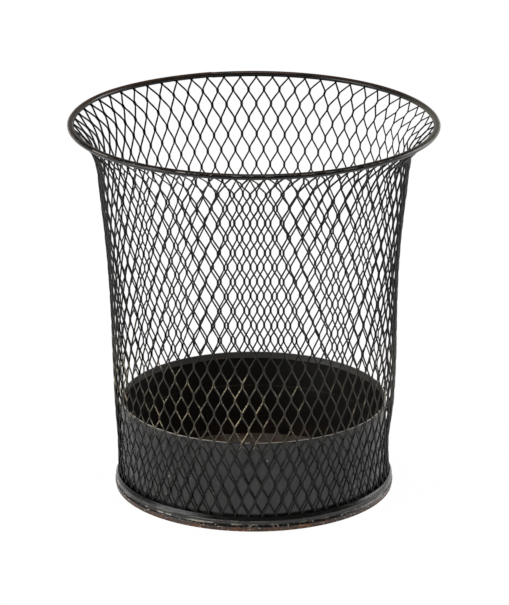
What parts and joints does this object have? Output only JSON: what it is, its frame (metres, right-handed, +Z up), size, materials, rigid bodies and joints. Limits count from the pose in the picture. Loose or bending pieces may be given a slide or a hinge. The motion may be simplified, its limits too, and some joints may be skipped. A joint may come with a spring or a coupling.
{
  "type": "mesh wastebasket",
  "caption": "Round flared wastebasket of expanded steel mesh with a rolled tube rim, a solid steel pan inside its lower part and a beaded foot moulding.",
  "frame": {"origin": "on the floor, at the middle of the foot moulding", "axes": "+Z up along the axis of the basket, -Y towards the front, +X to the right seen from the front"},
  "size_m": [0.3322, 0.3322, 0.343],
  "materials": {
    "rim_steel": "worn satin black paint with dusty brown wear",
    "mesh_steel": "satin black paint, rubbed to brown metal on its high edges",
    "pan_steel": "satin black paint with small chips",
    "floor_steel": "black paint worn through to brown rust",
    "foot_steel": "gloss black paint, rubbed to rust along the floor edge"
  },
  "bodies": {
    "root": {"rim_ring": "rim_steel", "mesh_body": "mesh_steel", "pan_wall": "pan_steel", "pan_bottom": "floor_steel", "foot_ring": "foot_steel"}
  },
  "joints": []
}
